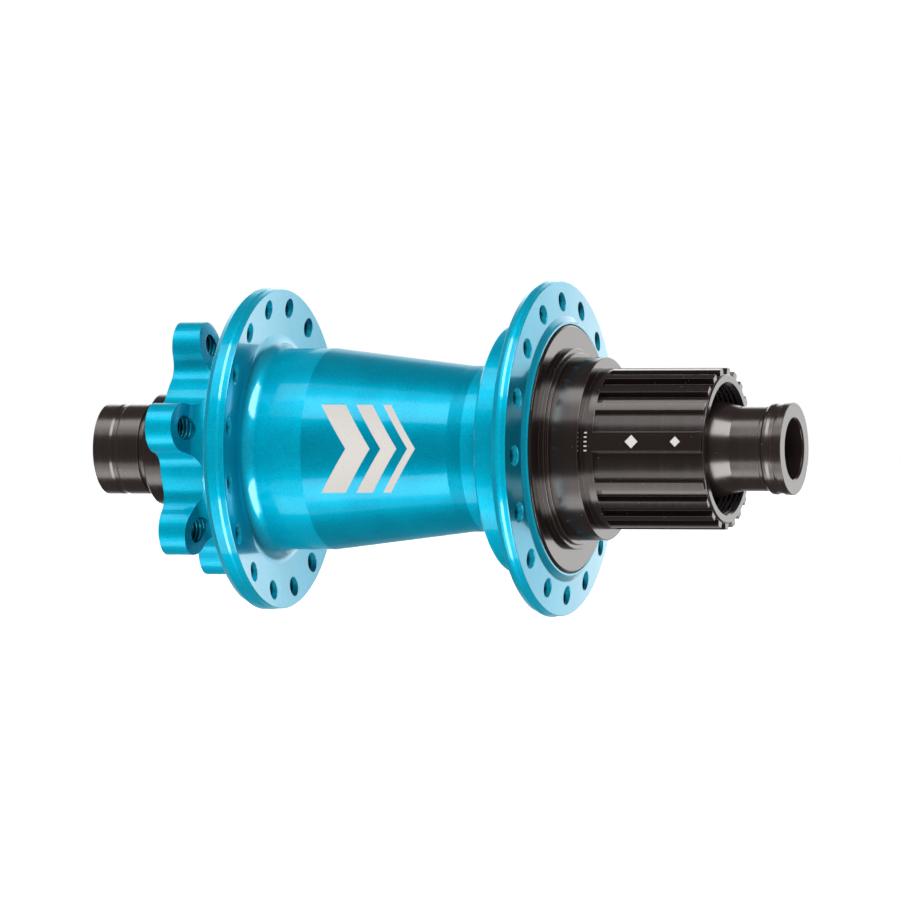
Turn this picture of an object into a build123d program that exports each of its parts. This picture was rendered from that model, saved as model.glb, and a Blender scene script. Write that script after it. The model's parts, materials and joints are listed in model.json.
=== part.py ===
from build123d import *
from math import atan2, cos, degrees, hypot, radians, sin, tan
import os

# Rear bicycle hub: 148 mm wide, 12 mm thru-axle, six-bolt disc mount, 32 spokes, ratchet freehub.
# Frame: the hub turns about Y, +Z is up and +X is the way the bicycle travels.
# The disc side is +Y and the drive side is -Y. The origin is the middle of the over-locknut width.
# "Station" means a distance along the axle from the origin, positive towards the drive side.
# "Angle" is measured about the axle from +Z towards -X.

# ---- Driving dimensions (mm, degrees) ----
over_locknut = 148.0
end_station = over_locknut / 2
spokes_per_flange = 16
spoke_hole_r = 1.3
spoke_sink_r = 2.1
spoke_sink_angle = 90

left_flange_left = -40.2
left_flange_right = -36.1  # at the spoke holes
left_crease = -37.4  # where the wide band of the rim ends
left_flange_r = 32.8
left_rim_drop = 0.5
left_pcd_r = 28.95
left_hole_angle = 13.9
right_flange_left = 21.8
right_flange_right = 25.3
right_crease = 23.3
right_flange_r = 33.95
right_rim_drop = 0.4
right_pcd_r = 29.75
right_hole_angle = 2.65
flange_lean = 6.5  # degrees that the faces of both flanges lean towards the middle of the hub
rim_bevel = 1.0  # width of the bevel on the disc side of both rims
rim_step = 0.45  # width of the small bevel between the two bands of a rim
rim_fall = 0.17
rim_corner = 0.2
neck_foot_round = 3.4  # fillet where the neck meets the disc side flange
barrel_foot_round = 3.0  # fillet where the barrel meets the disc side flange

barrel_r = 20.5  # disc side end of the barrel
waist_r = 16.8  # drive side end of the barrel
barrel_left = -23.9
waist_left = 6.0
waist_round = 1.0
barrel_wall = 3.0

# disc mount
disc_face = -55.2
disc_back = -49.65  # at the tip of a lobe
disc_back_lean = 12.0  # degrees that the back of the lobes leans towards the drive side
disc_pilot = -55.8
disc_pilot_r = 17.5
disc_pcd_r = 22.0
disc_bolts = 6
disc_angle = 18.8
lobe_r = 5.0
valley_r = 18.7
valley_round = 4.0
disc_hole_r = 2.5
neck_r = 18.2
neck_left = -44.2  # where the fillet behind the lobes meets the neck
neck_round = 4.4

# ratchet cup and drive ring
cup_r = 25.0
cup_left = 14.85
cup_edge = 0.25
cup_round = 2.5  # fillet where the cup meets the drive side flange
cup_relief_r = 20.0  # of the floor behind the drive ring
cup_bore_r = 22.6
cup_floor = 15.9
ring_left, ring_right = 17.0, 24.0
lip_station = 26.6
lip_outer_r = 25.9
lip_foot_r = 26.8
lip_bore_r = 25.15
lip_floor = 25.3
ring_teeth = 120
tooth_tip_r = 19.5
tooth_root_r = 19.95
tooth_face = 0.9  # degrees that the driving face of a tooth leans over, along the path of a pawl tip

# pawls, drawn engaged and stored swung in, as they are while coasting
pawls = 6
pawl_pivot_r = 16.9
pawl_span = 20.0
pawl_tip_r = 19.86
pawl_tip_angle = -0.065
pawl_heel_r = 1.5
pawl_swing = 5.5
pawl_left, pawl_right = 18.2, 23.2
pocket_floor_r = 14.7
pocket_span = 26.5

# freehub body
freehub_left = 16.6
carrier_r = 18.2
carrier_right = 24.4
collar_r = 18.45
shoulder = 34.5  # drive side end of the collar
shoulder_edge = 0.1
spline_crest_r = 16.2
spline_root_r = 14.9
spline_left = 36.9
spline_right = 59.7
freehub_right = 60.0
nose_r = 14.95
freehub_bore_r = 12.0
mouth_r = 13.05
narrow_splines = 20
narrow_pitch = 15.82
narrow_width = 6.0
first_spline = 58.4
wide_spline = 84.9
wide_width = 13.4

# thru-axle, axle tube and bearings
thru_bore_r = 6.05
axle_end = 67.0
end_r = 7.5
seat_r = 8.5
cap_r = 9.25
left_bearing = -54.2  # disc side face of each bearing
right_bearing = 8.6
inner_bearing = 17.4
outer_bearing = 48.2
shell_bearing_w = 7.0
freehub_bearing_w = 5.0
left_bearing_r = 14.0
right_bearing_r = 15.0
freehub_bearing_r = 13.0

# end caps, with distances counted from the outer end of the cap
cap_edge = 0.1
bore_edge = 0.3
left_groove = 3.55
left_groove_end = 5.2
left_groove_depth = 0.18
left_band_end = 9.95
left_waist_r = 8.65
left_skirt = 11.5
left_skirt_r = 11.35
right_groove = 1.4
right_groove_end = 1.9
right_bead = 3.36
right_bead_end = 4.0
right_waist = 5.2
right_waist_end = 11.0
right_skirt_r = 12.2
o_ring_station = 60.0
o_ring_r = 0.38
o_groove_r = 8.3
o_groove_w = 1.0

# seals between the shell and the freehub
cover_left = 25.5
cover_right = 27.0
cover_step_r = 20.3
cover_inner_r = 19.4
cover_end = 28.7
seal_r = 22.3

slip = 0.03  # radial running clearance between parts that slide or turn on each other


# ---- Helpers ----
SIDE = Plane(origin=(0, 0, 0), x_dir=(0, -1, 0), z_dir=(1, 0, 0))  # x runs along the stations, y is the radius


def station(s):
    """Plane across the axle at a station. Its x is up, its y is towards -X and its normal is the drive side."""
    return Plane(origin=(0, -s, 0), x_dir=(0, 0, 1), z_dir=(0, -1, 0))


def at(angle, r):
    """Point in a station plane."""
    return (r * cos(radians(angle)), r * sin(radians(angle)))


def turned(*points, mode=Mode.ADD):
    """Revolves a closed half section, given as (station, radius) points, about the axle."""
    with BuildSketch(SIDE) as half:
        with BuildLine():
            Polyline(*points, close=True)
        make_face()
    revolve(half.sketch, axis=Axis.Y, mode=mode)


def ring(s0, s1, r0, r1, mode=Mode.ADD):
    """Plain turned ring between two stations."""
    turned((s0, r0), (s1, r0), (s1, r1), (s0, r1), mode=mode)


def keep(part, name):
    """Labels a finished piece and writes it."""
    part.label = name
    export_step(part, f"parts/{name}.step")


# ---- Hub shell ----
def hub_shell():
    lf0, lf1 = left_flange_left, left_flange_right
    rf0, rf1 = right_flange_left, right_flange_right
    slope = tan(radians(flange_lean))
    left_fall_r = left_flange_r - rim_fall
    right_fall_r = right_flange_r - rim_fall
    left_corner = lf1 + slope * (left_fall_r - left_pcd_r)
    right_corner = rf1 - slope * (right_fall_r - right_pcd_r)
    seat_l = left_bearing + shell_bearing_w
    seat_r_end = right_bearing + shell_bearing_w
    foot_r = barrel_r + barrel_foot_round
    left_foot = lf1 - slope * (left_pcd_r - foot_r)
    neck_end = lf0 - neck_foot_round
    neck_foot_r = neck_r + neck_foot_round
    cup_end = rf0 - cup_round
    waist_end = cup_left - waist_round
    with BuildPart() as shell:
        with BuildSketch(SIDE):
            with BuildLine():
                # outside, from the disc side to the drive side
                Polyline((disc_pilot, left_bearing_r + 0.4), (disc_pilot, disc_pilot_r), (disc_face, disc_pilot_r))
                Line((disc_face, disc_pilot_r), (disc_face, valley_r))
                Line((disc_face, valley_r), (disc_back, valley_r))
                Line((disc_back, valley_r), (neck_left - neck_round, neck_r))
                Line((neck_left - neck_round, neck_r), (neck_end, neck_r))
                RadiusArc((neck_end, neck_r), (lf0, neck_foot_r), -neck_foot_round)
                Polyline(
                    (lf0, neck_foot_r),
                    (lf0, left_flange_r - left_rim_drop),
                    (lf0 + rim_bevel, left_flange_r),
                    (left_crease, left_flange_r),
                    (left_crease + rim_step, left_fall_r),
                    (left_corner - rim_corner, left_fall_r),
                )
                RadiusArc(
                    (left_corner - rim_corner, left_fall_r),
                    (left_corner, left_fall_r - rim_corner),
                    rim_corner,
                )
                Line((left_corner, left_fall_r - rim_corner), (left_foot, foot_r))
                RadiusArc((left_foot, foot_r), (left_foot + barrel_foot_round, barrel_r), -barrel_foot_round)
                Line((left_foot + barrel_foot_round, barrel_r), (barrel_left, barrel_r))
                Line((barrel_left, barrel_r), (waist_left, waist_r))
                Line((waist_left, waist_r), (waist_end, waist_r))
                RadiusArc((waist_end, waist_r), (cup_left, waist_r + waist_round), -waist_round)
                Line((cup_left, waist_r + waist_round), (cup_left, cup_r - cup_edge))
                Line((cup_left, cup_r - cup_edge), (cup_left + cup_edge, cup_r))
                Line((cup_left + cup_edge, cup_r), (cup_end, cup_r))
                RadiusArc((cup_end, cup_r), (rf0, cup_r + cup_round), -cup_round)
                Polyline(
                    (rf0, cup_r + cup_round),
                    (rf0, right_flange_r - right_rim_drop),
                    (rf0 + rim_bevel, right_flange_r),
                    (right_crease, right_flange_r),
                    (right_crease + rim_step, right_fall_r),
                    (right_corner - rim_corner, right_fall_r),
                )
                RadiusArc(
                    (right_corner - rim_corner, right_fall_r),
                    (right_corner, right_fall_r - rim_corner),
                    rim_corner,
                )
                Polyline(
                    (right_corner, right_fall_r - rim_corner),
                    (rf1 + slope * (right_pcd_r - lip_foot_r), lip_foot_r),
                    (lip_station - 0.3, lip_outer_r),
                    (lip_station, lip_outer_r - 0.3),
                    (lip_station, lip_bore_r),
                    # inside, back to the disc side
                    (lip_floor, lip_bore_r),
                    (lip_floor, cup_bore_r),
                    (ring_left, cup_bore_r),
                    (ring_left, cup_relief_r),
                    (cup_floor, cup_relief_r),
                    (cup_floor, right_bearing_r + 0.3),
                    (seat_r_end, right_bearing_r),
                    (right_bearing, right_bearing_r),
                    (right_bearing, waist_r - barrel_wall - 0.6),
                    (waist_left, waist_r - barrel_wall),
                    (barrel_left, barrel_r - barrel_wall),
                    (-34.0, barrel_r - barrel_wall),
                    (-40.0, left_bearing_r),
                    (seat_l + 2.0, left_bearing_r - 1.5),
                    (seat_l, left_bearing_r - 1.5),
                    (seat_l, left_bearing_r),
                    (disc_pilot + 0.4, left_bearing_r),
                    (disc_pilot, left_bearing_r + 0.4),
                )
            make_face()
        revolve(axis=Axis.Y)
        # disc mount lobes, cut behind by a groove that runs round into the neck
        with BuildSketch(station(disc_face)) as star:
            Circle(valley_r)
            with PolarLocations(disc_pcd_r, disc_bolts, start_angle=disc_angle):
                Circle(lobe_r)
            with PolarLocations(disc_pcd_r / 2, disc_bolts, start_angle=disc_angle):
                Rectangle(disc_pcd_r, 2 * lobe_r)
            corners = [v for v in star.vertices() if hypot(v.Z, v.X) < disc_pcd_r - 1.0]
            fillet(corners, valley_round)
            Circle(left_bearing_r + 0.5, mode=Mode.SUBTRACT)
        extrude(amount=neck_left - disc_face)
        lean = radians(disc_back_lean)
        lobe_tip_r = disc_pcd_r + lobe_r
        fillet_top = (neck_left - neck_round * cos(lean), neck_r + neck_round * (1 - sin(lean)))
        clear = 1.0  # how far the cutting sketch passes the tip of a lobe
        with BuildSketch(SIDE):
            with BuildLine():
                RadiusArc((neck_left, neck_r), fillet_top, neck_round)
                Polyline(
                    fillet_top,
                    (disc_back - clear * sin(lean), lobe_tip_r + clear * cos(lean)),
                    (neck_left, lobe_tip_r + clear),
                    (neck_left, neck_r),
                )
            make_face()
        revolve(axis=Axis.Y, mode=Mode.SUBTRACT)
        # tapped holes in the lobes, which run out through the fillet
        with BuildSketch(station(disc_face)):
            with PolarLocations(disc_pcd_r, disc_bolts, start_angle=disc_angle):
                Circle(disc_hole_r)
        extrude(amount=neck_left - disc_face, mode=Mode.SUBTRACT)
        # spoke holes, sunk from both faces
        sunk_holes(lf0, lf1, left_pcd_r, left_hole_angle)
        sunk_holes(rf0, rf1, right_pcd_r, right_hole_angle)
    keep(shell.part, "hub_shell")


def sunk_holes(s0, s1, pcd_r, angle):
    """Spoke holes through a flange between two stations, countersunk on both sides."""
    with Locations(station(s1)):
        with PolarLocations(pcd_r, spokes_per_flange, start_angle=angle):
            CounterSinkHole(spoke_hole_r, spoke_sink_r, depth=s1 - s0, counter_sink_angle=spoke_sink_angle)
    back = Plane(origin=(0, -s0, 0), x_dir=(0, 0, 1), z_dir=(0, 1, 0))
    with Locations(back):
        with PolarLocations(pcd_r, spokes_per_flange, start_angle=-angle):
            CounterSinkHole(spoke_hole_r, spoke_sink_r, depth=s1 - s0, counter_sink_angle=spoke_sink_angle)


# ---- Freewheel ----
def drive_ring():
    pitch = 360 / ring_teeth
    edge = []
    for tooth in range(ring_teeth):
        root = tooth * pitch
        edge.append(at(root, tooth_root_r))
        edge.append(at(root + pitch - tooth_face, tooth_tip_r))
    with BuildPart() as toothed:
        with BuildSketch(station(ring_left)):
            Circle(cup_bore_r)
            with BuildLine():
                Polyline(*edge, close=True)
            make_face(mode=Mode.SUBTRACT)
        extrude(amount=ring_right - ring_left)
    keep(toothed.part, "drive_ring")


def pivot_of(number):
    """Angle of a pawl's pivot about the axle."""
    return pawl_tip_angle + pawl_span + (number - 1) * 360 / pawls


def pawl_frame(number):
    """Plane of a stored pawl: its origin is the pivot and its x runs to the tip."""
    tip = at(pivot_of(number) - pawl_span, pawl_tip_r)
    pivot = at(pivot_of(number), pawl_pivot_r)
    lie = radians(degrees(atan2(tip[1] - pivot[1], tip[0] - pivot[0])) - pawl_swing)
    return Plane(
        origin=(-pivot[1], -pawl_left, pivot[0]),
        x_dir=(-sin(lie), 0, cos(lie)),
        z_dir=(0, -1, 0),
    )


def pawl(number):
    tip = at(-pawl_span, pawl_tip_r)
    reach = hypot(tip[0] - pawl_pivot_r, tip[1])
    with BuildPart() as lever:
        with BuildSketch(pawl_frame(number)):
            Circle(pawl_heel_r)
            with BuildLine():
                Polyline(
                    (0, 1.2),
                    (2.0, 1.25),
                    (reach - 1.9, 0.3),
                    (reach - 0.85, -0.06),
                    (reach, 0),
                    (reach, -2.3),
                    (reach - 1.2, -2.7),
                    (1.2, -1.7),
                    (0, -1.2),
                    close=True,
                )
            make_face()
        extrude(amount=pawl_right - pawl_left)
    keep(lever.part, f"pawl_{number}")


def pawl_spring(number):
    """Leaf spring under a pawl, pressed almost flat as it is while the pawl is in."""
    thick = 0.16
    pivot = pivot_of(number)
    foot = pocket_floor_r + 0.02
    run = [(-2.5, foot), (-7, foot), (-11, foot + 0.2), (-15, foot + 0.6), (-18.5, foot + 1.0)]
    under = [at(pivot + angle, r) for angle, r in run]
    over = [at(pivot + angle, r + thick) for angle, r in reversed(run)]
    with BuildPart() as leaf:
        with BuildSketch(station(pawl_left + 0.8)):
            with BuildLine():
                Polyline(*under, *over, close=True)
            make_face()
        extrude(amount=pawl_right - pawl_left - 1.6)
    keep(leaf.part, f"pawl_spring_{number}")


def freehub_body():
    bearing_in = inner_bearing + freehub_bearing_w
    bearing_out = outer_bearing + freehub_bearing_w
    clip_left, clip_right, clip_r = bearing_out + 0.1, bearing_out + 1.0, mouth_r + 0.55
    with BuildPart() as body:
        turned(
            (freehub_left, freehub_bearing_r + 0.2),
            (freehub_left, carrier_r - 0.4),
            (freehub_left + 0.4, carrier_r),
            (carrier_right, carrier_r),
            (carrier_right, collar_r),
            (shoulder - shoulder_edge, collar_r),
            (shoulder, collar_r - shoulder_edge),
            (shoulder, spline_crest_r),
            (spline_right, spline_crest_r),
            (spline_right, nose_r),
            (freehub_right - 0.2, nose_r),
            (freehub_right, nose_r - 0.2),
            (freehub_right, mouth_r + 0.35),
            (freehub_right - 0.4, mouth_r),
            (clip_right, mouth_r),
            (clip_right, clip_r),
            (clip_left, clip_r),
            (clip_left, freehub_bearing_r),
            (outer_bearing, freehub_bearing_r),
            (outer_bearing, freehub_bore_r),
            (bearing_in + 1.6, freehub_bore_r),
            (bearing_in, freehub_bore_r - 0.6),
            (bearing_in, freehub_bearing_r),
            (freehub_left + 0.2, freehub_bearing_r),
        )
        # grooves between the splines
        with BuildSketch(station(spline_left)):
            Circle(spline_crest_r + 1.0)
            Circle(spline_root_r, mode=Mode.SUBTRACT)
            for number in range(narrow_splines):
                land(first_spline - number * narrow_pitch, narrow_width)
            land(wide_spline, wide_width)
        extrude(amount=spline_right - spline_left, mode=Mode.SUBTRACT)
        # pawl pockets, each with a round seat for the pawl's heel
        with BuildSketch(station(pawl_left - 0.1)):
            for number in range(1, pawls + 1):
                pivot = pivot_of(number)
                with Locations(at(pivot, pawl_pivot_r)):
                    Circle(pawl_heel_r + slip)
                with BuildLine():
                    inner = ThreePointArc(
                        at(pivot, pocket_floor_r),
                        at(pivot - pocket_span / 2, pocket_floor_r),
                        at(pivot - pocket_span, pocket_floor_r),
                    )
                    outer = ThreePointArc(
                        at(pivot, carrier_r + 1),
                        at(pivot - pocket_span / 2, carrier_r + 1),
                        at(pivot - pocket_span, carrier_r + 1),
                    )
                    Line(inner @ 0, outer @ 0)
                    Line(inner @ 1, outer @ 1)
                make_face()
        extrude(amount=pawl_right - pawl_left + 0.2, mode=Mode.SUBTRACT)
    keep(body.part, "freehub_body")


def land(angle, width):
    """Takes one spline's land out of the groove sketch, with flanks that lean outwards."""
    half_crest = radians(width / 2) * spline_crest_r
    half_root = half_crest + 0.25
    with BuildSketch(mode=Mode.PRIVATE) as tooth:
        with BuildLine():
            Polyline(
                (spline_root_r - 0.5, -half_root),
                (spline_crest_r + 0.05, -half_crest),
                (spline_crest_r + 1.2, -half_crest),
                (spline_crest_r + 1.2, half_crest),
                (spline_crest_r + 0.05, half_crest),
                (spline_root_r - 0.5, half_root),
                close=True,
            )
        make_face()
    with Locations(Rotation(0, 0, angle)):
        add(tooth.sketch, mode=Mode.SUBTRACT)


def seal_disc():
    """Black cover pressed on the freehub body, which runs inside the lip of the shell."""
    outer_r = lip_bore_r - 0.25
    with BuildPart() as disc:
        turned(
            (cover_left, collar_r),
            (cover_left, outer_r),
            (cover_right - 0.3, outer_r),
            (cover_right, outer_r - 0.3),
            (cover_right, cover_step_r),
            (cover_right + 1.0, cover_step_r),
            (cover_right + 1.15, cover_step_r - 0.15),
            (cover_right + 1.15, cover_inner_r),
            (cover_end - 0.15, cover_inner_r),
            (cover_end, cover_inner_r - 0.15),
            (cover_end, collar_r),
        )
    keep(disc.part, "seal_disc")


def freehub_seal():
    """Rubber ring whose thin lip almost meets the bore of the shell."""
    with BuildPart() as rubber:
        turned(
            (carrier_right + 0.05, collar_r),
            (carrier_right + 0.05, seal_r - 1.3),
            (carrier_right + 0.35, seal_r),
            (carrier_right + 0.65, seal_r),
            (carrier_right + 0.55, seal_r - 1.3),
            (cover_left - 0.1, seal_r - 1.7),
            (cover_left - 0.1, collar_r),
        )
    keep(rubber.part, "freehub_seal")


def bearing_circlip():
    """Open snap ring behind the outer freehub bearing."""
    left = outer_bearing + freehub_bearing_w + 0.15
    with BuildPart() as clip:
        with BuildSketch(station(left)):
            Circle(mouth_r + 0.5)
            Circle(mouth_r - 0.5, mode=Mode.SUBTRACT)
            with Locations((mouth_r, 0)):
                Rectangle(4.0, 5.0, mode=Mode.SUBTRACT)
        extrude(amount=0.8)
    keep(clip.part, "bearing_circlip")


# ---- Bearings ----
def bearing(name, left, width, r0, r1, ball_r, balls):
    """Sealed ball bearing as races, balls, cage and seals."""
    pitch_r = (r0 + r1) / 2
    middle = left + width / 2
    right = left + width
    inner_r = pitch_r - 0.55 * ball_r
    outer_r = pitch_r + 0.55 * ball_r
    race(f"{name}_inner_race", left, right, r0, inner_r, pitch_r, ball_r)
    race(f"{name}_outer_race", left, right, outer_r, r1, pitch_r, ball_r)
    with BuildPart() as ball_set:
        with Locations(station(middle)):
            with PolarLocations(pitch_r, balls):
                Sphere(ball_r)
    keep(ball_set.part, f"{name}_balls")
    half = ball_r + 0.45
    with BuildPart() as cage:
        ring(middle - half, middle + half, pitch_r - 0.6, pitch_r + 0.6)
        with Locations(station(middle)):
            with PolarLocations(pitch_r, balls):
                Cylinder(ball_r + 0.06, 3.0, rotation=(0, 90, 0), mode=Mode.SUBTRACT)
    keep(cage.part, f"{name}_cage")
    with BuildPart() as seals:
        ring(left + 0.1, left + 0.45, inner_r + 0.15, outer_r)
        ring(right - 0.45, right - 0.1, inner_r + 0.15, outer_r)
    keep(seals.part, f"{name}_seals")


def race(name, s0, s1, r0, r1, pitch_r, ball_r):
    """Bearing ring with a ball groove a little wider than the balls."""
    with BuildPart() as grooved:
        with BuildSketch(SIDE):
            with Locations(((s0 + s1) / 2, (r0 + r1) / 2)):
                Rectangle(s1 - s0, r1 - r0)
            with Locations(((s0 + s1) / 2, pitch_r)):
                Circle(ball_r + 0.05, mode=Mode.SUBTRACT)
        revolve(axis=Axis.Y)
    keep(grooved.part, name)


# ---- Axle, spacers and end caps ----
def axle():
    seat_l = left_bearing + shell_bearing_w
    with BuildPart() as tube:
        turned(
            (-axle_end, thru_bore_r),
            (-axle_end, end_r - 0.3),
            (-axle_end + 0.3, end_r),
            (seat_l, end_r),
            (seat_l, 9.2),
            (seat_l + 1.6, 9.2),
            (seat_l + 2.8, 8.0),
            (right_bearing - 3.4, 8.0),
            (right_bearing - 1.8, 9.8),
            (right_bearing, 9.8),
            (right_bearing, seat_r),
            (outer_bearing + freehub_bearing_w, seat_r),
            (outer_bearing + freehub_bearing_w, end_r),
            (axle_end - 0.3, end_r),
            (axle_end, end_r - 0.3),
            (axle_end, thru_bore_r),
        )
    keep(tube.part, "axle")


def spacer(name, s0, s1):
    with BuildPart() as sleeve:
        ring(s0, s1, seat_r, 9.9)
    keep(sleeve.part, name)


def o_ring(name, s):
    """O-ring in the groove of an end cap's bore. It grips the end of the axle."""
    with BuildPart() as loop:
        with BuildSketch(SIDE):
            with Locations((s, end_r + 0.02 + o_ring_r)):
                Circle(o_ring_r)
        revolve(axis=Axis.Y)
    keep(loop.part, name)


def o_groove(s):
    """Groove for an O-ring in the bore of an end cap."""
    ring(s - o_groove_w / 2, s + o_groove_w / 2, end_r, o_groove_r, mode=Mode.SUBTRACT)


def left_end_cap():
    s = -end_station
    with BuildPart() as cap:
        turned(
            (s, thru_bore_r + bore_edge),
            (s, cap_r - cap_edge),
            (s + cap_edge, cap_r),
            (s + left_groove, cap_r),
            (s + left_groove + 0.45, cap_r - left_groove_depth),
            (s + left_groove_end - 0.2, cap_r - left_groove_depth),
            (s + left_groove_end, cap_r),
            (s + left_band_end - 0.2, cap_r),
            (s + left_band_end, cap_r - 0.2),
            (s + left_band_end, left_waist_r),
            (s + left_skirt, left_waist_r),
            (s + left_skirt + 0.3, left_skirt_r - 0.25),
            (s + left_skirt + 0.55, left_skirt_r),
            (disc_pilot + 0.3, left_skirt_r),
            (disc_pilot + 0.3, left_bearing_r - 0.3),
            (left_bearing - 0.4, left_bearing_r - 0.3),
            (left_bearing - 0.4, 9.3),
            (left_bearing - 0.05, 9.3),
            (left_bearing - 0.05, end_r + slip),
            (-axle_end - 0.1, end_r + slip),
            (-axle_end - 0.1, thru_bore_r),
            (s + bore_edge, thru_bore_r),
        )
        o_groove(-o_ring_station)
    keep(cap.part, "left_end_cap")


def right_end_cap():
    s = end_station
    bearing_face = outer_bearing + freehub_bearing_w
    with BuildPart() as cap:
        turned(
            (s, thru_bore_r + bore_edge),
            (s, cap_r - cap_edge),
            (s - cap_edge, cap_r),
            (s - right_groove, cap_r),
            (s - right_groove - 0.1, cap_r - 0.5),
            (s - right_groove_end, cap_r - 0.5),
            (s - right_groove_end - 0.1, cap_r - 0.3),
            (s - right_bead + 0.5, cap_r - 0.28),
            (s - right_bead, cap_r - 0.1),
            (s - right_bead_end, cap_r - 0.1),
            (s - right_bead_end - 0.35, cap_r - 0.35),
            (s - right_bead_end - 0.5, cap_r - 0.95),
            (s - right_waist + 0.1, cap_r - 0.95),
            (s - right_waist, seat_r),
            (s - right_waist_end, seat_r),
            (bearing_face + 1.7, 10.6),
            (bearing_face + 1.7, right_skirt_r),
            (bearing_face + 0.5, right_skirt_r),
            (bearing_face + 0.5, 9.6),
            (bearing_face + 0.05, 9.6),
            (bearing_face + 0.05, end_r + slip),
            (axle_end + 0.1, end_r + slip),
            (axle_end + 0.1, thru_bore_r),
            (s - bore_edge, thru_bore_r),
        )
        o_groove(o_ring_station)
    keep(cap.part, "right_end_cap")


os.makedirs("parts", exist_ok=True)
hub_shell()
drive_ring()
for pawl_number in range(1, pawls + 1):
    pawl(pawl_number)
    pawl_spring(pawl_number)
freehub_body()
seal_disc()
freehub_seal()
bearing_circlip()
bearing("left_shell_bearing", left_bearing, shell_bearing_w, end_r, left_bearing_r, 1.95, 11)
bearing("right_shell_bearing", right_bearing, shell_bearing_w, seat_r, right_bearing_r, 1.95, 12)
bearing("inner_freehub_bearing", inner_bearing, freehub_bearing_w, seat_r, freehub_bearing_r, 1.4, 15)
bearing("outer_freehub_bearing", outer_bearing, freehub_bearing_w, seat_r, freehub_bearing_r, 1.4, 15)
axle()
spacer("shell_to_freehub_spacer", right_bearing + shell_bearing_w, inner_bearing)
spacer("freehub_spacer", inner_bearing + freehub_bearing_w, outer_bearing)
left_end_cap()
right_end_cap()
o_ring("left_o_ring", -o_ring_station)
o_ring("right_o_ring", o_ring_station)
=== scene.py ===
import json
from math import cos, hypot, pi, radians, sin, sqrt, tan, tau

import bmesh
import bpy
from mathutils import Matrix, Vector


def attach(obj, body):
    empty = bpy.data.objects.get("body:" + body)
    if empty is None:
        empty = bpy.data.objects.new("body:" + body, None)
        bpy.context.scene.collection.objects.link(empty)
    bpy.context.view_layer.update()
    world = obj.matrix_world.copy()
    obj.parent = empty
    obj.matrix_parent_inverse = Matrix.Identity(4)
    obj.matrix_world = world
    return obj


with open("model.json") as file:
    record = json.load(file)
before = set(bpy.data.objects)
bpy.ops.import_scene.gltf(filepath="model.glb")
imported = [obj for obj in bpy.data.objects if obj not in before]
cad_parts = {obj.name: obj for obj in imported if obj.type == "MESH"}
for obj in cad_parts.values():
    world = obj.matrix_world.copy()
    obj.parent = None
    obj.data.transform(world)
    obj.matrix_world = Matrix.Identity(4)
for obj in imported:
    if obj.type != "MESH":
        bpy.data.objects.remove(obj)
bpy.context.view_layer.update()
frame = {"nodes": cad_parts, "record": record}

MM = 0.001
nodes_by_name = frame["nodes"]

# The hub's axis is Y. A station is a distance along it in mm, positive towards the drive side (-Y).
# An angle is measured about the axis from +Z towards -X, which is the side that the camera sees.

# ---- Camera: level, a little round to the drive side, from far away ----
CAMERA_TURN = radians(20.46)
CAMERA_DISTANCE = 1.686
CAMERA_LENS = 332.8
CAMERA_SHIFT = (0.0034, -0.0013)
CAMERA_SIDE = Vector((-cos(CAMERA_TURN), -sin(CAMERA_TURN), 0))

# ---- Studio: start and end of each lamp, in degrees from the lens towards the disc side, and strength ----
SOFTBOX = (-42, 39, 7.9)
DIM_WING = (39, 56, 1.2)
SIDE_STRIP = (56, 88, 3.5)
LAMP_ELEVATION = (34, 74)  # the same above and below the lens
LAMP_EDGE = 4  # width of the soft edge
BACKDROP_STRENGTH = 2.0
ROOM_STRENGTH = 0.10
FLOOR_HEIGHT = -0.14  # metres, well below the hub
FLOOR_HALF = 60.0

# ---- Sizes of the CAD shell that its finish and its threads follow (mm, degrees) ----
DISC_BOLTS = 6
DISC_CIRCLE_R = 22.0
DISC_ANGLE = 18.8
DISC_HOLE_R = 2.5
SPOKES = 16
SPOKE_HOLE_R = 1.3
SPOKE_CIRCLES = ((28.95, 13.9), (29.75, 2.65))  # radius and first angle, disc side then drive side
NECK_R = 18.2
NECK_ROUND = 4.4
NECK_LEFT = -44.2
BACK_LEAN = 12.0
BARREL = (-23.9, 9.0)  # stations between which the barrel is blasted
WIDE_SPLINE_ANGLE = 84.9

# ---- Plain marks (mm) ----
CHEVRONS = ((-9.0, -4.0), (-1.8, 1.5), (3.7, 5.3))  # back and front of each, from the middle of the barrel
CHEVRON_MIDDLE = -5.6
CHEVRON_HALF_HEIGHT = 9.2
CHEVRON_LEAN = 0.62
DIAMONDS = ((45.1, 1.35), (54.3, 1.05))  # station and half width
TICK_STATIONS = (35.1, 35.7)
TICK_ROW_HALF = 2.3
TICK_PITCH = 0.9

# ---- Screw threads (mm) ----
ROTOR_THREAD = {"stations": (-54.6, -45.0), "radii": (2.53, 2.14), "pitch": 0.8, "steps": 32}
LOCKRING_THREAD = {"stations": (54.9, 59.3), "radii": (13.08, 12.8), "pitch": 1.0, "steps": 96}
RIDGE_FOOT = 0.42  # half width of a ridge at the wall and at its crest, as parts of the pitch
RIDGE_CREST = 0.06

# ---- Colours: dark and light end of the mottling ----
TURNED_SIDES = (0.0, 0.262, 0.392, 1), (0.0, 0.330, 0.480, 1)
# Flat faces are tinted darker than cylinders: painted shade for the shade that falls on them beside the
# freehub.
FACES_WITH_PAINTED_SHADE = (0.0, 0.228, 0.342, 1), (0.0, 0.272, 0.405, 1)
BLASTED_BARREL = (0.0, 0.176, 0.268, 1), (0.0, 0.224, 0.334, 1)
BARE_ETCHING = (0.41, 0.39, 0.37, 1), (0.35, 0.33, 0.31, 1)
BLACK = (0.010, 0.0062, 0.0052), (0.013, 0.0082, 0.0072)
FLOOR_GREY = (0.86, 0.86, 0.86, 1), (0.90, 0.90, 0.90, 1)

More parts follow.
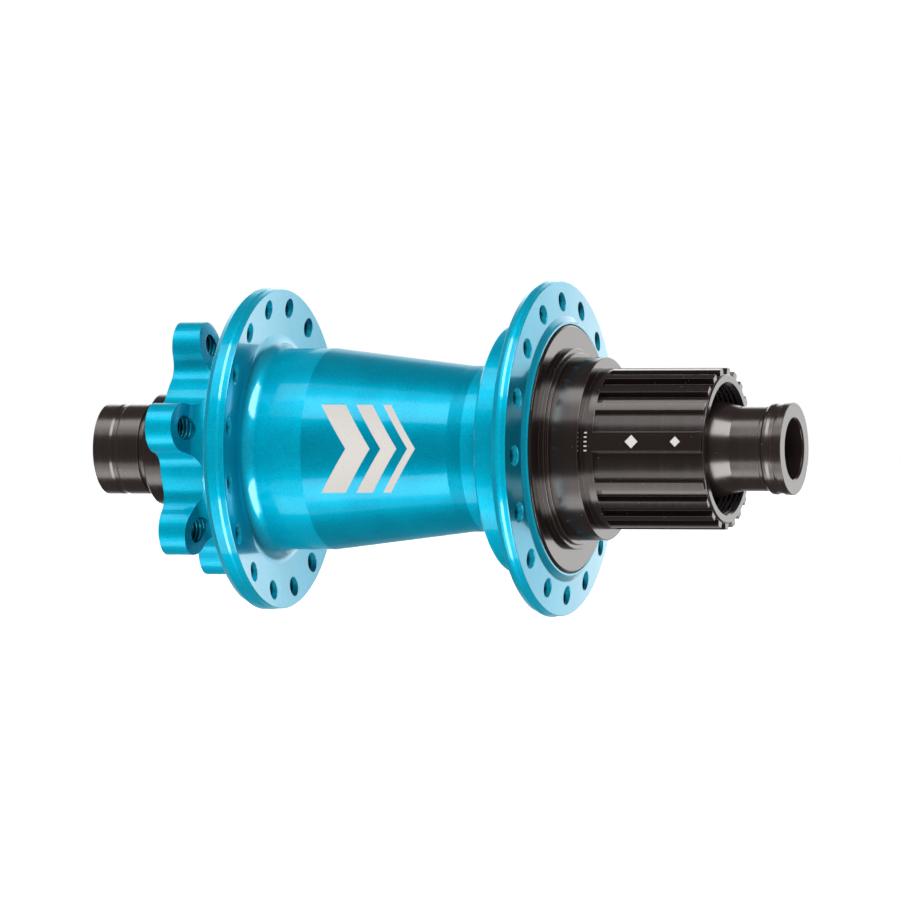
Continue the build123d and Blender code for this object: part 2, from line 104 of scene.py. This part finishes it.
# ---- Surface detail (m) ----
EDGE_ROUND = 0.00015
MARK_DEPTH = 0.00003


def make_camera():
    data = bpy.data.cameras.new("camera")
    data.lens = CAMERA_LENS
    data.sensor_width = 36
    data.shift_x, data.shift_y = CAMERA_SHIFT
    data.clip_start = 0.05
    data.clip_end = 200
    camera = bpy.data.objects.new("camera", data)
    camera.location = CAMERA_SIDE * CAMERA_DISTANCE
    camera.rotation_mode = "QUATERNION"
    camera.rotation_quaternion = (-CAMERA_SIDE).to_track_quat("-Z", "Y")
    bpy.context.collection.objects.link(camera)
    bpy.context.scene.camera = camera


# ---- Node graphs ----
class Graph:
    """Short calls for building one node tree."""

    def __init__(self, tree):
        self.tree = tree
        tree.nodes.clear()

    def node(self, kind, inputs=(), **settings):
        made = self.tree.nodes.new(kind)
        for key, value in settings.items():
            setattr(made, key, value)
        for key, value in dict(inputs).items():
            self.put(made.inputs[key], value)
        return made

    def put(self, socket, value):
        if isinstance(value, bpy.types.NodeSocket):
            self.tree.links.new(value, socket)
        else:
            socket.default_value = value

    def math(self, operation, *values, clamp=False):
        made = self.node("ShaderNodeMath", operation=operation, use_clamp=clamp)
        for socket, value in zip(made.inputs, values):
            self.put(socket, value)
        return made.outputs[0]

    def times(self, first, *others):
        for other in others:
            first = self.math("MULTIPLY", first, other)
        return first

    def plus(self, first, *others):
        for other in others:
            first = self.math("ADD", first, other)
        return first

    def inverse(self, mask):
        return self.math("SUBTRACT", 1.0, mask)

    def dot(self, first, second):
        made = self.node("ShaderNodeVectorMath", operation="DOT_PRODUCT")
        self.put(made.inputs[0], first)
        self.put(made.inputs[1], second)
        return made.outputs["Value"]

    def ramp(self, value, low, high, to_low=0.0, to_high=1.0):
        """Smooth step from to_low to to_high as value goes from low to high."""
        made = self.node("ShaderNodeMapRange", interpolation_type="SMOOTHSTEP")
        for key, number in (("Value", value), ("From Min", low), ("From Max", high)):
            self.put(made.inputs[key], number)
        self.put(made.inputs["To Min"], to_low)
        self.put(made.inputs["To Max"], to_high)
        return made.outputs[0]

    def band(self, value, low, high, soft):
        """One between low and high, zero outside, with edges that are soft wide."""
        rise = self.ramp(value, low - soft / 2, low + soft / 2)
        fall = self.ramp(value, high - soft / 2, high + soft / 2, 1.0, 0.0)
        return self.times(rise, fall)

    def vector(self, x, y, z=0.0):
        return self.node("ShaderNodeCombineXYZ", {"X": x, "Y": y, "Z": z}).outputs[0]

    def noise(self, vector, scale, detail=2.0, roughness=0.5):
        made = self.node("ShaderNodeTexNoise", {"Scale": scale, "Detail": detail, "Roughness": roughness})
        self.put(made.inputs["Vector"], vector)
        return made.outputs["Fac"]

    def specks(self, vector, scale, size):
        """Scattered round dots: one inside a dot."""
        made = self.node("ShaderNodeTexVoronoi", {"Scale": scale, "Randomness": 1.0})
        self.put(made.inputs["Vector"], vector)
        picked = self.ramp(self.noise(vector, scale * 0.37, 0.0), 0.60, 0.64)
        return self.times(self.ramp(made.outputs["Distance"], size * 0.6, size, 1.0, 0.0), picked)

    def mix(self, factor, first, second):
        made = self.node("ShaderNodeMix", data_type="RGBA")
        colours = [socket for socket in made.inputs if socket.type == "RGBA"]
        self.put(made.inputs[0], factor)
        self.put(colours[0], first)
        self.put(colours[1], second)
        return made.outputs[2]

    def bump(self, height, strength, distance, normal=None):
        inputs = {"Height": height, "Strength": strength, "Distance": distance}
        if normal is not None:
            inputs["Normal"] = normal
        return self.node("ShaderNodeBump", inputs).outputs[0]

    def round_edges(self, radius):
        """Normal that rounds off sharp edges over a radius in metres."""
        return self.node("ShaderNodeBevel", {"Radius": radius}, samples=4).outputs[0]

    def edge_mask(self, rounded, low, high):
        """One on sharp edges, where the rounded normal leaves the true one."""
        true = self.node("ShaderNodeNewGeometry").outputs["Normal"]
        return self.ramp(self.dot(rounded, true), low, high, 1.0, 0.0)

    def axle_coordinates(self):
        """Station and radius in mm, angle in radians, and the plain position in mm."""
        place = self.node("ShaderNodeTexCoord").outputs["Object"]
        scaled = self.node("ShaderNodeVectorMath", operation="SCALE")
        self.put(scaled.inputs[0], place)
        self.put(scaled.inputs["Scale"], 1000.0)
        split = self.node("ShaderNodeSeparateXYZ")
        self.put(split.inputs[0], scaled.outputs[0])
        x, y, z = split.outputs
        station = self.times(y, -1.0)
        across = self.times(x, -1.0)
        radius = self.math("SQRT", self.plus(self.times(x, x), self.times(z, z)))
        angle = self.math("ARCTAN2", across, z)
        return station, radius, angle, scaled.outputs[0]

    def facing_axle(self):
        """How much the surface faces along the axle: 1 on flat faces, 0 on cylinders."""
        split = self.node("ShaderNodeSeparateXYZ")
        self.put(split.inputs[0], self.node("ShaderNodeTexCoord").outputs["Normal"])
        return self.math("ABSOLUTE", split.outputs["Y"])


def new_material(name):
    made = bpy.data.materials.new(name)
    made.use_nodes = True
    return made, Graph(made.node_tree)


def finish_material(graph, settings):
    shader = graph.node("ShaderNodeBsdfPrincipled", settings)
    output = graph.node("ShaderNodeOutputMaterial")
    graph.tree.links.new(shader.outputs[0], output.inputs["Surface"])


def turning_marks(graph, station, radius, angle, fine, coarse):
    """Height of lathe marks: rings round the axle, on faces as well as on cylinders."""
    drift = graph.times(angle, 0.05)
    rings = graph.noise(graph.vector(station, radius, drift), fine, 3.0, 0.6)
    waves = graph.noise(graph.vector(station, radius, drift), coarse, 1.0)
    return graph.plus(rings, graph.times(waves, 0.6))


# ---- Materials ----
def etched_chevrons(graph, station, radius, angle):
    """Plain decoration on the barrel: three chevrons, each thinner than the last."""
    across = graph.times(graph.math("SUBTRACT", angle, pi / 2), radius)
    spread = graph.times(graph.math("ABSOLUTE", across), CHEVRON_LEAN)
    along = graph.plus(graph.math("SUBTRACT", station, CHEVRON_MIDDLE), spread)
    marks = graph.plus(*(graph.band(along, back, front, 0.08) for back, front in CHEVRONS))
    height = graph.band(across, -CHEVRON_HALF_HEIGHT, CHEVRON_HALF_HEIGHT, 0.10)
    return graph.times(marks, height, graph.ramp(radius, 16.0, 16.4))


def from_hole(graph, radius, angle, circle_r, count, first):
    """Distance in mm from the nearest of a circle of holes that run along the axle."""
    half = pi / count
    turned = graph.math("WRAP", graph.math("SUBTRACT", angle, radians(first)), half, -half)
    around = graph.times(turned, radius)
    outward = graph.math("SUBTRACT", radius, circle_r)
    squares = graph.plus(graph.times(around, around), graph.times(outward, outward))
    return graph.math("SQRT", squares)


def painted_bore_shade(graph, station, radius, angle):
    """Mask of painted shade: one inside the spoke holes and in the roots of the disc mount's threads, less on
    their crests.
    """
    on_left = graph.ramp(station, -1.0, 1.0, 1.0, 0.0)
    spoke_holes = []
    for on_side, (circle_r, first) in zip((on_left, graph.inverse(on_left)), SPOKE_CIRCLES):
        away = from_hole(graph, radius, angle, circle_r, SPOKES, first)
        inside = graph.ramp(away, SPOKE_HOLE_R + 0.05, SPOKE_HOLE_R + 0.2, 1.0, 0.0)
        spoke_holes.append(graph.times(on_side, inside))
    away = from_hole(graph, radius, angle, DISC_CIRCLE_R, DISC_BOLTS, DISC_ANGLE)
    roots = graph.ramp(away, 2.12, 2.42, 0.15, 1.1)
    inside = graph.ramp(away, DISC_HOLE_R + 0.05, DISC_HOLE_R + 0.2, 1.0, 0.0)
    on_mount = graph.ramp(station, NECK_LEFT - 0.4, NECK_LEFT, 1.0, 0.0)
    on_walls = graph.ramp(graph.facing_axle(), 0.85, 0.98, 1.0, 0.0)
    tapped = graph.times(roots, inside, on_mount, on_walls)
    return graph.math("MAXIMUM", graph.math("MAXIMUM", *spoke_holes), tapped)


def shell_material():
    """Turquoise anodised: blasted on the barrel, turned elsewhere, with the marks etched bare, and with
    painted shade on flat faces and inside the bores.
    """
    made, graph = new_material("turquoise_anodised")
    station, radius, angle, place = graph.axle_coordinates()
    barrel = graph.times(graph.band(station, *BARREL, 0.3), graph.ramp(radius, 22.5, 23.0, 1.0, 0.0))
    marks = etched_chevrons(graph, station, radius, angle)
    grain = graph.noise(place, 5.0, 3.0, 0.7)
    speckle = graph.times(graph.ramp(grain, 0.50, 0.72), graph.ramp(barrel, 0.0, 1.0, 0.35, 1.0))
    cloud = graph.noise(place, 0.12, 2.0)
    lathe = turning_marks(graph, station, radius, angle, 3.2, 0.7)
    dust = graph.specks(place, 0.55, 0.07)
    rounded = graph.round_edges(EDGE_ROUND)
    worn = graph.edge_mask(rounded, 0.90, 0.985)
    facing = graph.facing_axle()
    axial = graph.ramp(facing, 0.70, 0.95)
    patch = graph.plus(graph.times(cloud, 0.4), graph.times(graph.noise(place, 3.0), 0.6))
    shade = graph.ramp(patch, 0.38, 0.62)
    # Faces that look along the axle take the darker tint: painted shade.
    turned = graph.mix(axial, graph.mix(shade, *TURNED_SIDES), graph.mix(shade, *FACES_WITH_PAINTED_SHADE))
    tint = graph.mix(barrel, turned, graph.mix(shade, *BLASTED_BARREL))
    grained = graph.mix(graph.times(speckle, 0.30), tint, (0.0, 0.33, 0.48, 1))
    edged = graph.mix(graph.times(worn, 0.35), grained, (0.05, 0.42, 0.56, 1))
    dusted = graph.mix(graph.times(dust, 0.8), edged, (0.0, 0.05, 0.08, 1))
    etched = graph.mix(speckle, *BARE_ETCHING)
    # Painted shade: the insides of the spoke holes and the roots of the mount's threads are darkened.
    bore_shade = painted_bore_shade(graph, station, radius, angle)
    deep = graph.mix(graph.times(bore_shade, 0.72), dusted, (0.0, 0.030, 0.052, 1))
    colour = graph.mix(marks, deep, etched)
    metallic = graph.times(graph.inverse(marks), graph.ramp(axial, 0.0, 1.0, 0.5, 0.68))
    off_barrel = graph.ramp(axial, 0.0, 1.0, 0.43, 0.22)
    matt = graph.plus(off_barrel, graph.times(barrel, -0.06))
    spread = graph.plus(matt, graph.times(graph.math("SUBTRACT", grain, 0.5), 0.12))
    roughness = graph.math("ADD", spread, graph.times(marks, 0.2), clamp=True)
    gloss = graph.ramp(facing, 0.03, 0.25, 0.22, 0.90)
    for mask, left_over in ((axial, 0.62), (barrel, 0.3), (bore_shade, 0.35), (marks, 0.0)):
        gloss = graph.times(gloss, graph.ramp(mask, 0.0, 1.0, 1.0, left_over))
    height = graph.plus(graph.times(lathe, 0.3), graph.times(grain, barrel))
    normal = graph.bump(height, 0.08, MARK_DEPTH, rounded)
    finish_material(graph, {
        "Base Color": colour, "Metallic": metallic, "Roughness": roughness, "Normal": normal,
        "Specular IOR Level": 0.0, "Coat Weight": gloss, "Coat Roughness": 0.06, "Coat IOR": 1.6,
        "Coat Normal": normal,
    })
    return made


def freehub_marks(graph, station, radius, angle):
    """Plain white marks: two diamonds on the wide spline and a row of ticks on the shoulder."""
    across = graph.times(graph.math("SUBTRACT", angle, radians(WIDE_SPLINE_ANGLE)), radius)
    spread = graph.math("ABSOLUTE", across)
    diamonds = []
    for middle, half in DIAMONDS:
        away = graph.math("ABSOLUTE", graph.math("SUBTRACT", station, middle))
        diamonds.append(graph.ramp(graph.plus(away, spread), half - 0.04, half + 0.04, 1.0, 0.0))
    ticks = graph.ramp(graph.math("PINGPONG", across, TICK_PITCH / 2), 0.12, 0.16, 1.0, 0.0)
    row = graph.band(station, *TICK_STATIONS, 0.05)
    length = graph.band(across, -TICK_ROW_HALF, TICK_ROW_HALF, 0.05)
    both = graph.plus(*diamonds, graph.times(ticks, row, length))
    return graph.times(both, graph.ramp(radius, 16.1, 16.15))


def black_material(name, depth=1.0, marked=False):
    """Black anodised and turned; a depth below one is darker and smoother."""
    made, graph = new_material(name)
    station, radius, angle, place = graph.axle_coordinates()
    lathe = turning_marks(graph, station, radius, angle, 4.0, 0.9)
    cloud = graph.noise(place, 0.25, 3.0)
    rounded = graph.round_edges(EDGE_ROUND)
    worn = graph.edge_mask(rounded, 0.90, 0.985)
    dust = graph.specks(place, 0.9, 0.10)
    base = graph.mix(cloud, *(tuple(depth * part for part in tone) + (1,) for tone in BLACK))
    edged = graph.mix(graph.times(worn, 0.5), base, (0.08, 0.065, 0.058, 1))
    colour = graph.mix(graph.times(dust, 0.45), edged, (0.16, 0.14, 0.12, 1))
    polish = graph.ramp(lathe, 0.5, 1.1, 0.10 + 0.07 * depth, 0.14 + 0.10 * depth)
    roughness = graph.plus(polish, graph.times(dust, 0.3))
    if marked:
        marks = freehub_marks(graph, station, radius, angle)
        colour = graph.mix(marks, colour, (0.40, 0.39, 0.37, 1))
        roughness = graph.plus(roughness, graph.times(marks, 0.3))
    finish_material(graph, {
        "Base Color": colour, "Roughness": roughness, "IOR": 1.68, "Specular Tint": (1.0, 0.93, 0.90, 1.0),
        "Normal": graph.bump(lathe, 0.05, MARK_DEPTH, rounded),
    })
    return made


def metal_material(name, dark, light, roughness, ringed=True):
    """Bare metal with turning marks, or with a fine ground grain."""
    made, graph = new_material(name)
    station, radius, angle, place = graph.axle_coordinates()
    if ringed:
        height = turning_marks(graph, station, radius, angle, 3.0, 0.8)
    else:
        height = graph.noise(place, 5.0, 4.0, 0.7)
    cloud = graph.noise(place, 0.4, 3.0)
    rounded = graph.round_edges(0.0001)
    finish_material(graph, {
        "Base Color": graph.mix(cloud, dark, light), "Metallic": 1.0,
        "Roughness": graph.ramp(height, 0.3, 1.0, roughness * 0.8, roughness * 1.25),
        "Normal": graph.bump(height, 0.15, MARK_DEPTH, rounded),
    })
    return made


def soft_material(name, dark, light, roughness):
    """Moulded rubber or nylon: slightly mottled, with a fine skin."""
    made, graph = new_material(name)
    place = graph.axle_coordinates()[3]
    skin = graph.noise(place, 7.0, 3.0, 0.6)
    finish_material(graph, {
        "Base Color": graph.mix(graph.noise(place, 0.6, 3.0), dark, light),
        "Roughness": graph.ramp(skin, 0.3, 0.7, roughness - 0.08, roughness + 0.08),
        "Normal": graph.bump(skin, 0.2, 0.00004),
    })
    return made


def dress_nodes():
    steel = metal_material("ground_steel", (0.30, 0.29, 0.28, 1), (0.44, 0.43, 0.41, 1), 0.34, ringed=False)
    bright = metal_material("bearing_steel", (0.52, 0.52, 0.53, 1), (0.66, 0.66, 0.67, 1), 0.14)
    alloy = metal_material("turned_alloy", (0.55, 0.55, 0.56, 1), (0.68, 0.68, 0.69, 1), 0.28)
    strip = metal_material("spring_strip", (0.34, 0.32, 0.28, 1), (0.48, 0.46, 0.42, 1), 0.30, ringed=False)
    rubber = soft_material("nitrile_rubber", (0.010, 0.010, 0.011, 1), (0.022, 0.022, 0.024, 1), 0.55)
    nylon = soft_material("cage_nylon", (0.30, 0.20, 0.10, 1), (0.42, 0.30, 0.16, 1), 0.45)
    by_slot = {
        "shell_anodised": shell_material(),
        "black_anodised": black_material("black_anodised"),
        "axle_alloy": alloy,
        "spacer_alloy": alloy,
        "hardened_steel": steel,
        "bearing_steel": bright,
        "cage_nylon": nylon,
        "seal_rubber": rubber,
        "spring_steel": strip,
    }
    for subpart in frame["record"]["subparts"]:
        node = nodes_by_name[subpart["node"]]
        for slot in node.material_slots:
            slot.material = by_slot[subpart["material_slot"]]
        if not node.material_slots:
            node.data.materials.append(by_slot[subpart["material_slot"]])
    freehub_finish = black_material("black_anodised_marked", 0.7, marked=True)
    nodes_by_name["freehub_body"].material_slots[0].material = freehub_finish
    nodes_by_name["seal_disc"].material_slots[0].material = black_material("black_anodised_deep", 0.6)
    cut_threads(by_slot["shell_anodised"], by_slot["black_anodised"])


# ---- Screw threads ----
def back_of_mount(r):
    """Station of the surface behind the disc mount at a distance from the axle."""
    fillet_centre_r = NECK_R + NECK_ROUND
    fillet_end_r = fillet_centre_r - NECK_ROUND * sin(radians(BACK_LEAN))
    if r < fillet_end_r:
        return NECK_LEFT - sqrt(NECK_ROUND**2 - (fillet_centre_r - r) ** 2)
    return NECK_LEFT - NECK_ROUND * cos(radians(BACK_LEAN)) - (r - fillet_end_r) * tan(radians(BACK_LEAN))


def thread_ridge(name, centre, stations, radii, pitch, steps, inside=None):
    """Helical ridge standing inwards from the wall of a bore along Y, kept where inside(place) holds."""
    start, end = stations
    wall_r, crest_r = radii
    centre_x, centre_z = centre
    profile = ((wall_r, -RIDGE_FOOT), (crest_r, -RIDGE_CREST), (crest_r, RIDGE_CREST), (wall_r, RIDGE_FOOT))
    runs = [[]]
    for step in range(round((end - start) / pitch * steps) + 1):
        turn = tau * step / steps
        middle = start + pitch * step / steps
        places = [
            (centre_x + r * cos(turn), middle + part * pitch, centre_z + r * sin(turn)) for r, part in profile
        ]
        if inside and not all(inside(place) for place in places):
            runs.append([])
        else:
            runs[-1].append(places)
    shape = bmesh.new()
    for run in runs:
        if len(run) < 3:
            continue
        rows = [[shape.verts.new((x * MM, -along * MM, z * MM)) for x, along, z in places] for places in run]
        for first, second in zip(rows, rows[1:]):
            for corner in range(4):
                after = (corner + 1) % 4
                shape.faces.new((first[corner], second[corner], second[after], first[after]))
        shape.faces.new(rows[0])
        shape.faces.new(reversed(rows[-1]))
    bmesh.ops.recalc_face_normals(shape, faces=shape.faces)
    mesh = bpy.data.meshes.new(name)
    shape.to_mesh(mesh)
    shape.free()
    piece = bpy.data.objects.new(name, mesh)
    bpy.context.collection.objects.link(piece)
    return piece


def cut_threads(shell_finish, black_finish):
    """Thread ridges in the six holes of the disc mount and in the mouth of the freehub body."""

    def in_the_mount(place):
        x, along, z = place
        return along < back_of_mount(hypot(x, z)) - 0.04

    for number in range(DISC_BOLTS):
        turn = radians(DISC_ANGLE + number * 360 / DISC_BOLTS)
        centre = (-DISC_CIRCLE_R * sin(turn), DISC_CIRCLE_R * cos(turn))
        ridge = thread_ridge(f"rotor_thread_{number + 1}", centre, **ROTOR_THREAD, inside=in_the_mount)
        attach(ridge, "shell")
        ridge.data.materials.append(shell_finish)
    ridge = thread_ridge("lockring_thread", (0, 0), **LOCKRING_THREAD)
    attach(ridge, "freehub")
    ridge.data.materials.append(black_finish)


# ---- Studio ----
def make_world():
    """White backdrop behind the hub, a dark room in front of it, and lamps above and below the lens."""
    world = bpy.data.worlds.new("studio")
    bpy.context.scene.world = world
    world.use_nodes = True
    graph = Graph(world.node_tree)
    upwards = Vector((0, 0, 1))
    towards = graph.node("ShaderNodeTexCoord").outputs["Generated"]
    front = graph.dot(towards, CAMERA_SIDE)
    side = graph.dot(towards, CAMERA_SIDE.cross(upwards))
    turn = graph.math("ARCTAN2", side, front)
    elevation = graph.math("ARCSINE", graph.dot(towards, upwards))
    steepness = graph.math("ABSOLUTE", elevation)
    low_side = graph.ramp(elevation, radians(-16), radians(-8), 0.22, 1.0)
    behind = graph.ramp(front, -0.58, -0.46, 1.0, 0.0)
    level = graph.ramp(steepness, radians(25), radians(38), BACKDROP_STRENGTH, 0.0)
    light = graph.plus(graph.times(behind, low_side, level), ROOM_STRENGTH)
    lowest, highest = map(radians, LAMP_ELEVATION)
    high = graph.band(steepness, lowest, highest, radians(LAMP_EDGE))
    for start, end, strength in (SOFTBOX, DIM_WING, SIDE_STRIP):
        wide = graph.band(turn, radians(start), radians(end), radians(LAMP_EDGE))
        light = graph.plus(light, graph.times(wide, high, strength))
    seen = graph.node("ShaderNodeLightPath").outputs["Is Camera Ray"]
    shown = graph.node("ShaderNodeMix", {0: seen, 2: light, 3: 1.0}, data_type="FLOAT")
    background = graph.node("ShaderNodeBackground", {"Color": (1, 1, 1, 1), "Strength": shown.outputs[0]})
    output = graph.node("ShaderNodeOutputWorld")
    graph.tree.links.new(background.outputs[0], output.inputs["Surface"])


def make_floor():
    """Pale floor well below the hub, which the softbox below the lens shines through."""
    mesh = bpy.data.meshes.new("floor")
    ends = ((-1, -1), (1, -1), (1, 1), (-1, 1))
    corners = [(x * FLOOR_HALF, y * FLOOR_HALF, FLOOR_HEIGHT) for x, y in ends]
    mesh.from_pydata(corners, [], [(0, 1, 2, 3)])
    floor = bpy.data.objects.new("floor", mesh)
    bpy.context.collection.objects.link(floor)
    made, graph = new_material("pale_floor")
    place = graph.node("ShaderNodeTexCoord").outputs["Object"]
    mottle = graph.noise(place, 30.0, 3.0)
    finish_material(graph, {
        "Base Color": graph.mix(mottle, *FLOOR_GREY), "Roughness": 0.8,
    })
    mesh.materials.append(made)
    for ray in ("visible_diffuse", "visible_glossy", "visible_transmission", "visible_shadow"):
        setattr(floor, ray, False)


make_camera()
make_world()
make_floor()
dress_nodes()

scene = bpy.context.scene
scene.view_settings.view_transform = "Standard"
